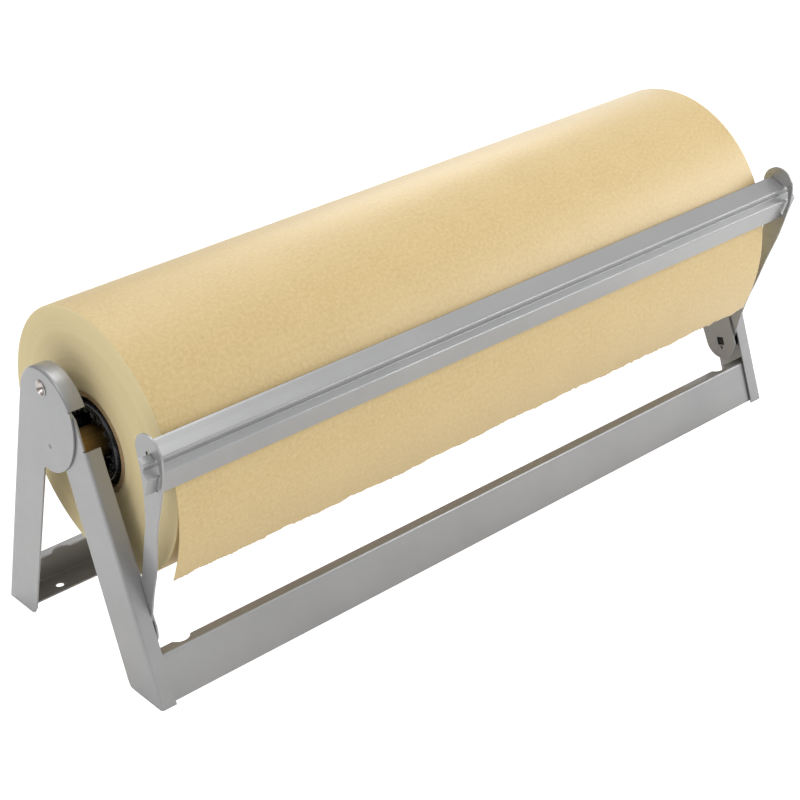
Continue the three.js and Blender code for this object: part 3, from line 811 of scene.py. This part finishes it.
# ---------------------------------------------------------------- pins, springs, spacers, eyelets
def sweep(name, path, radius, sides, side):
    """A round wire along path, its section carried along without twist."""
    points = [Vector(p) for p in path]
    rows = []
    normal = None
    for i, p in enumerate(points):
        ahead = points[min(i + 1, len(points) - 1)] - points[max(i - 1, 0)]
        ahead.normalize()
        if normal is None:
            normal = ahead.orthogonal().normalized()
        normal = (normal - ahead * normal.dot(ahead)).normalized()
        across = ahead.cross(normal)
        rows.append([
            tuple(p + (normal * math.cos(a) + across * math.sin(a)) * radius)
            for a in (2 * math.pi * k / sides for k in range(sides))
        ])
    sheet = Sheet()
    sheet.grid(rows, closed=True)
    for row in (rows[0], rows[-1]):
        base = len(sheet.verts)
        sheet.verts.extend(row)
        sheet.faces.append(tuple(range(base, base + sides)))
    return sheet.object(name, side)


def torsion_spring(side, name):
    mean, turns, pitch = 6.4, 3.25, 1.9
    start = ARM_OUT + WIRE_R + 0.3
    points = [(-(ARM_OUT - ARM_T + 0.3), *HOOK), (-(ARM_OUT + 0.4), *HOOK),
              (-(start + 0.1), HOOK[0] + 1, HOOK[1] - 2.5)]
    per_turn = 16
    for i in range(int(turns * per_turn) + 1):
        a = math.pi + 0.25 - 2 * math.pi * i / per_turn
        x = -(start + 0.15 + pitch * i / per_turn)
        points.append((x, PIVOT_Y + mean * math.cos(a), PIVOT_Z + mean * math.sin(a)))
    end = -(start + 0.3 + pitch * turns)
    points += [(end, PIVOT_Y + 13, PIVOT_Z + 26), (end, -33.8, 98.6)]
    piece = sweep(name, smooth_line(points, 3), WIRE_R, 10, side)
    coil_in = (side * (start + 0.2) * MM, 0, 0)
    coil_out = (side * (start + pitch * turns) * MM, 0, 0)
    return piece, coil_in, coil_out


def pivot_pin(side, name):
    head_x, tip_x = -pin_high.x, -(BRACKET_X + 0.2)
    r, head = PIN_R, 9.6
    sheet = Sheet()
    profile = [(head_x, 0.01), (head_x, head - 1.2), (head_x + 0.5, head - 0.3),
               (head_x + 1.1, head), (head_x + 1.6, head), (head_x + 1.8, head - 0.3),
               (head_x + 1.8, r + 0.3), (head_x + 2.2, r), (tip_x - 0.4, r), (tip_x, r - 0.4),
               (tip_x, 0.01)]
    sheet.lathe(profile, 40, PIVOT_Y, PIVOT_Z)
    s = SQUARE_HOLE / 2 - 0.2
    sheet.prism([turned([(-s, -s), (s, -s), (s, s), (-s, s)])], tip_x - 0.3, -pin_low.x)
    return sheet.object(name, side)


def spacer(side, name, node):
    low, high = box_mm(node)
    cy, cz = (low.y + high.y) / 2, (low.z + high.z) / 2
    r = (high.z - low.z) / 2
    x0, x1 = sorted((abs(low.x), abs(high.x)))
    sheet = Sheet()
    profile = [(-x1, 0.01), (-x1, r - 0.4), (-x1 + 0.4, r),
               (-x0 - 0.4, r), (-x0, r - 0.4), (-x0, 0.01)]
    sheet.lathe(profile, 32, cy, cz)
    return sheet.object(name, side)


def head_eyelet(side, name):
    """A hollow rivet: a rolled rim outside, then a round bowl with a small bore."""
    out = -HALF
    shank = [(out - 0.06, 4.15), (out + 3.6, 4.15), (out + 3.9, 1.5)]
    rim = [(out - 0.06, 5.9), (out - 0.3, 6.2), (out - 0.6, 6.2), (out - 0.8, 5.9),
           (out - 0.72, 5.6), (out - 0.3, 5.25)]
    bowl = [(out + 0.5, 4.7), (out + 1.4, 3.9), (out + 2.3, 2.9), (out + 3.0, 1.9),
            (out + 3.3, 1.5)]
    sheet = Sheet()
    sheet.lathe(smooth_line(rim + bowl, 3)[::-1] + shank, 64, EYELET_Y, EYELET_Z)
    return sheet.object(name, side)


# ---------------------------------------------------------------- roll, core, plugs, tube, tail
def radial_block(corners, angle):
    """Corners (out, across), turned about the axle to stand at an angle."""
    c, s = math.cos(angle), math.sin(angle)
    return [(AXLE_Y + u * c - w * s, AXLE_Z + u * s + w * c) for u, w in corners]


def core_plug(side, name):
    """Black plug: a lip that tapers in from the core, ribs, and a hub set back round the tube."""
    face = -(ROLL_HALF + 1.5)
    seat = -(ROLL_HALF - 6)
    deep = -(ROLL_HALF - 26)
    hub_face = -(ROLL_HALF - 7)
    web_out, web_in = -(ROLL_HALF - 12), -(ROLL_HALF - 14.5)
    bore = TUBE_R + 0.08
    hub = bore + 2.8
    seat_r = CORE_BORE - 0.3
    web_r = LIP_R - 1.5
    lip = [(deep, seat_r - 4), (deep, seat_r - 0.4), (deep - 0.4, seat_r), (seat, seat_r),
           (seat - 0.8, LIP_R + 1.8), (face + 1.6, LIP_R + 0.5), (face + 0.4, LIP_R),
           (face, LIP_R - 0.6), (face - 0.1, LIP_R - 2.6), (face + 0.5, LIP_R - 3.6),
           (face + 1.8, LIP_R - 4.0)]
    sheet = Sheet()
    sheet.lathe(lip, 120, AXLE_Y, AXLE_Z)
    sheet.lathe([(deep, bore), (deep, hub), (hub_face + 0.8, hub), (hub_face, hub - 0.8),
                 (hub_face, bore + 0.5), (hub_face + 0.5, bore)], 72, AXLE_Y, AXLE_Z)
    sheet.lathe([(web_out, bore + 1), (web_out, web_r), (web_in, web_r), (web_in, bore + 1)],
                72, AXLE_Y, AXLE_Z)
    rib = [(bore + 2.0, -1.1), (LIP_R - 2.4, -1.1), (LIP_R - 2.4, 1.1), (bore + 2.0, 1.1)]
    for i in range(PLUG_RIBS):
        section = radial_block(rib, 2 * math.pi * i / PLUG_RIBS + 0.2)
        sheet.prism([section], hub_face + 0.4, deep)
    lump = [(LIP_R - 5.6, -1.9), (LIP_R - 1.4, -2.4), (LIP_R - 1.4, 2.4), (LIP_R - 5.6, 1.9)]
    for i in range(PLUG_LUMPS):
        section = radial_block(lump, 2 * math.pi * i / PLUG_LUMPS + random.uniform(-0.06, 0.06))
        sheet.prism([section], face - random.uniform(0.7, 1.5), face + 7)
    piece = sheet.object(name, side)
    soften(piece, 0.7, 3, 35)
    return piece


def axle_tube(name):
    half, r, bore = tube_high.x, TUBE_R, TUBE_R - TUBE_WALL
    sheet = Sheet()
    sheet.lathe([(-half, bore + 0.3), (-half, r - 0.4), (-half + 0.4, r), (half - 0.4, r),
                 (half, r - 0.4), (half, bore + 0.3), (half - 0.3, bore), (-half + 0.3, bore)],
                96, AXLE_Y, AXLE_Z)
    piece = sheet.object(name)
    soften(piece, 0.05, 1)
    return piece


def paper_core(name):
    half, r, bore = ROLL_HALF, CORE_R - 0.1, CORE_BORE
    sheet = Sheet()
    sheet.lathe([(-half, bore + 0.3), (-half, r), (half, r), (half, bore + 0.3),
                 (half - 0.3, bore), (-half + 0.3, bore)], 96, AXLE_Y, AXLE_Z)
    piece = sheet.object(name)
    soften(piece, 0.05, 1)
    return piece


def paper_roll(name):
    """The wound web. Its ends are not flat: each layer stands a little in or out."""
    inner, outer = CORE_R + 0.1, ROLL_R
    end = []
    for i in range(ROLL_LAYERS + 1):
        r = inner + (outer - inner) * i / ROLL_LAYERS
        wave = 0.06 * math.sin(r * 0.5) + 0.03 * math.sin(r * 1.3 + 1.1)
        wave += random.uniform(-0.02, 0.02)
        end.append((ROLL_HALF - 0.35 + wave, r))
    end[-1] = (ROLL_HALF - 0.5, outer - 0.5)
    end.append((ROLL_HALF - 0.9, outer - 0.12))
    end.append((ROLL_HALF - 1.6, outer))
    profile = [(-x, r) for x, r in end] + [(x, r) for x, r in reversed(end)]
    sheet = Sheet()
    sheet.lathe(profile, 256, AXLE_Y, AXLE_Z)
    piece = sheet.object(name)
    piece.data.materials.append(KRAFT)
    piece.data.materials.append(ROLL_END)
    for polygon in piece.data.polygons:
        if abs(polygon.normal.x) > 0.6:
            polygon.material_index = 1
    return piece


def torn_edge(x, tags):
    """How low the torn edge reaches at x."""
    z = TORN_Z + 1.3 * math.sin(x * 0.021 + 0.6) + 0.8 * math.sin(x * 0.083)
    z += 0.5 * math.sin(x * 0.31 + 2.0) + random.uniform(-0.45, 0.45)
    for centre, width, depth in tags:
        reach = abs(x - centre) / width
        if reach < 1:
            z -= depth * (1 - reach)
    return z


def cut_at(path, stop):
    """The path (y, z) down to a height. Points below it are drawn up to that height."""
    row = []
    last = path[0]
    for y, z in path:
        if z < stop:
            share = (last[1] - stop) / max(last[1] - z, 1e-6)
            row.append((last[0] + (y - last[0]) * share, stop))
            continue
        row.append((y, z))
        if z > stop:
            last = (y, z)
    return row


def paper_tail(name):
    """The free end of the web: it leaves the roll, passes under the bar and is torn off."""
    line = arc(AXLE_Y, AXLE_Z, ROLL_R + TAIL_GAP, 171, 180, 3)
    line += [(-102.8, 164), (-102.0, 152), (-99.6, 138), (-95.2, 122), (-89.8, 108), (-84.2, 96),
             (-80.6, 89)]
    path = smooth_line(line, 6)
    tags = [(random.uniform(-300, 300), random.uniform(1.0, 4.0), random.uniform(-1.2, 2.2))
            for _ in range(TAGS)]
    rows = []
    for i in range(TAIL_COLUMNS + 1):
        x = -ROLL_HALF + 2 * ROLL_HALF * i / TAIL_COLUMNS
        sway = 0.35 * math.sin(x * 0.017 + 1.0)
        row = cut_at(path, torn_edge(x, tags))
        rows.append([(x, y - sway * max(0.0, (150 - z) / 55), z) for y, z in row])
    sheet = Sheet()
    sheet.grid(rows)
    piece = sheet.object(name, -1, facing=(0, -1, 0))
    thicken(piece, TAIL_T)
    return piece


# ---------------------------------------------------------------- every piece, on its body
for label, side in (("left", -1), ("right", 1)):
    finish_piece(rear_leg(side, f"rear_leg_{label}"),
                 ENAMEL, "frame", "enamel", f"{label}_rear_leg")
    finish_piece(front_leg(side, f"front_leg_{label}"),
                 ENAMEL, "frame", "enamel", f"{label}_front_leg")
    finish_piece(inner_bracket(side, f"inner_bracket_{label}"),
                 ENAMEL, "frame", "enamel", f"{label}_inner_bracket")
    finish_piece(head_eyelet(side, f"head_eyelet_{label}"),
                 PLATED, "frame", "plated", f"{label}_head_eyelet")
    for where in ("lower", "upper"):
        node = f"{label}_spacer_{where}"
        finish_piece(spacer(side, f"spacer_{where}_{label}", node), PLATED, "frame", "plated", node)
    finish_piece(pivot_pin(side, f"pivot_pin_{label}"),
                 BLACKENED, "frame", "blackened", f"{label}_pivot_pin")
    spring, coil_in, coil_out = torsion_spring(side, f"torsion_spring_{label}")
    spring.data.materials.append(SPRING)
    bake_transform(spring)
    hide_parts(f"{label}_torsion_spring")
    finish_piece(swing_arm(side, f"swing_arm_{label}"),
                 ENAMEL, "cutter", "enamel", f"{label}_swing_arm")
    finish_piece(core_plug(side, f"core_plug_{label}"),
                 PLASTIC, "roll", "black_plastic", f"{label}_core_plug")

finish_piece(rail("rail_front", rail_low.y, FRONT_LEAN, 1, rail_high.x),
             ENAMEL, "frame", "enamel", "front_rail")
finish_piece(rail("rail_rear", rear_rail_high.y, REAR_LEAN, -1, rear_rail_high.x),
             ENAMEL, "frame", "enamel", "rear_rail")
finish_piece(tear_bar("tear_bar_folded"), ENAMEL, "cutter", "enamel", "tear_bar")
finish_piece(tear_blade("tear_blade_strip"), ENAMEL, "cutter", "enamel", "tear_blade")
finish_piece(axle_tube("axle_tube_plated"), TUBE, "roll", "plated", "axle_tube")
finish_piece(paper_core("core_tube_board"), BOARD, "roll", "core_board", "paper_core")
roll = paper_roll("kraft_roll")
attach(roll, "roll")
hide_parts("paper_roll")
finish_piece(paper_tail("kraft_tail"), KRAFT_SHEET, "frame", "kraft_paper", "paper_tail")


# ---------------------------------------------------------------- floor, light, camera
def floor_material(name, glow):
    g = Graph(name)
    grain = g.noise(3.0, 3.0)
    g.base(g.mix(grain, (0.86, 0.86, 0.86), (0.9, 0.9, 0.9)))
    g.set(Roughness=0.9, Specular_IOR_Level=0.0)
    g.shader.inputs["Emission Color"].default_value = (1, 1, 1, 1)
    g.set(Emission_Strength=glow)
    return g.material


def make_floor(name, depth, glow):
    mesh = bpy.data.meshes.new(name)
    signs = ((-1, -1), (1, -1), (1, 1), (-1, 1))
    corners = [(i * FLOOR_REACH, j * FLOOR_REACH, 0) for i, j in signs]
    mesh.from_pydata(corners, [], [(0, 1, 2, 3)])
    floor = bpy.data.objects.new(name, mesh)
    floor.location.z = -depth
    mesh.materials.append(floor_material(name, glow))
    bpy.context.scene.collection.objects.link(floor)
    return floor


def make_floors():
    """The table bounces light up at the piece. The camera sees a plain white sheet instead."""
    table = make_floor("table", 0.0006, FLOOR_GLOW)
    table.visible_camera = False
    sheet = make_floor("floor", 0.0010, SHEET_GLOW)
    sheet.visible_diffuse = False
    sheet.visible_glossy = False


def make_lights():
    for name, place, target, size, power in LIGHTS:
        data = bpy.data.lights.new(name, "AREA")
        data.shape = "RECTANGLE"
        data.size = size
        data.size_y = size
        data.energy = power
        lamp = bpy.data.objects.new(name, data)
        lamp.location = place
        aim = Vector(target) - Vector(place)
        lamp.rotation_euler = aim.to_track_quat("-Z", "Y").to_euler()
        bpy.context.scene.collection.objects.link(lamp)


def make_world():
    """A sky that grows brighter with height."""
    world = bpy.data.worlds.new("studio")
    bpy.context.scene.world = world
    world.use_nodes = True
    tree = world.node_tree
    tree.nodes.clear()
    out = tree.nodes.new("ShaderNodeOutputWorld")
    shade = tree.nodes.new("ShaderNodeBackground")
    coords = tree.nodes.new("ShaderNodeTexCoord")
    parts = tree.nodes.new("ShaderNodeSeparateXYZ")
    ramp = tree.nodes.new("ShaderNodeMapRange")
    ramp.inputs["From Min"].default_value = 0.1
    ramp.inputs["From Max"].default_value = 0.9
    ramp.inputs["To Min"].default_value = SKY_LOW
    ramp.inputs["To Max"].default_value = SKY_HIGH
    tree.links.new(coords.outputs["Generated"], parts.inputs[0])
    tree.links.new(parts.outputs["Z"], ramp.inputs["Value"])
    tree.links.new(ramp.outputs["Result"], shade.inputs["Strength"])
    tree.links.new(shade.outputs[0], out.inputs["Surface"])


def make_camera():
    data = bpy.data.cameras.new("camera")
    data.sensor_width = 36.0
    data.lens = CAMERA_LENS
    data.clip_start = 0.01
    camera = bpy.data.objects.new("camera", data)
    turn = Matrix.Rotation(CAMERA_TURN, 4, "Z")
    tilt = Matrix.Rotation(math.pi / 2 - CAMERA_DOWN, 4, "X")
    twist = Matrix.Rotation(CAMERA_TWIST, 4, "Z")
    camera.matrix_world = Matrix.Translation(CAMERA_PLACE) @ turn @ tilt @ twist
    bpy.context.scene.collection.objects.link(camera)
    bpy.context.scene.camera = camera


make_floors()
make_world()
make_lights()
make_camera()

scene = bpy.context.scene
scene.view_settings.view_transform = "Standard"
scene.view_settings.look = "None"
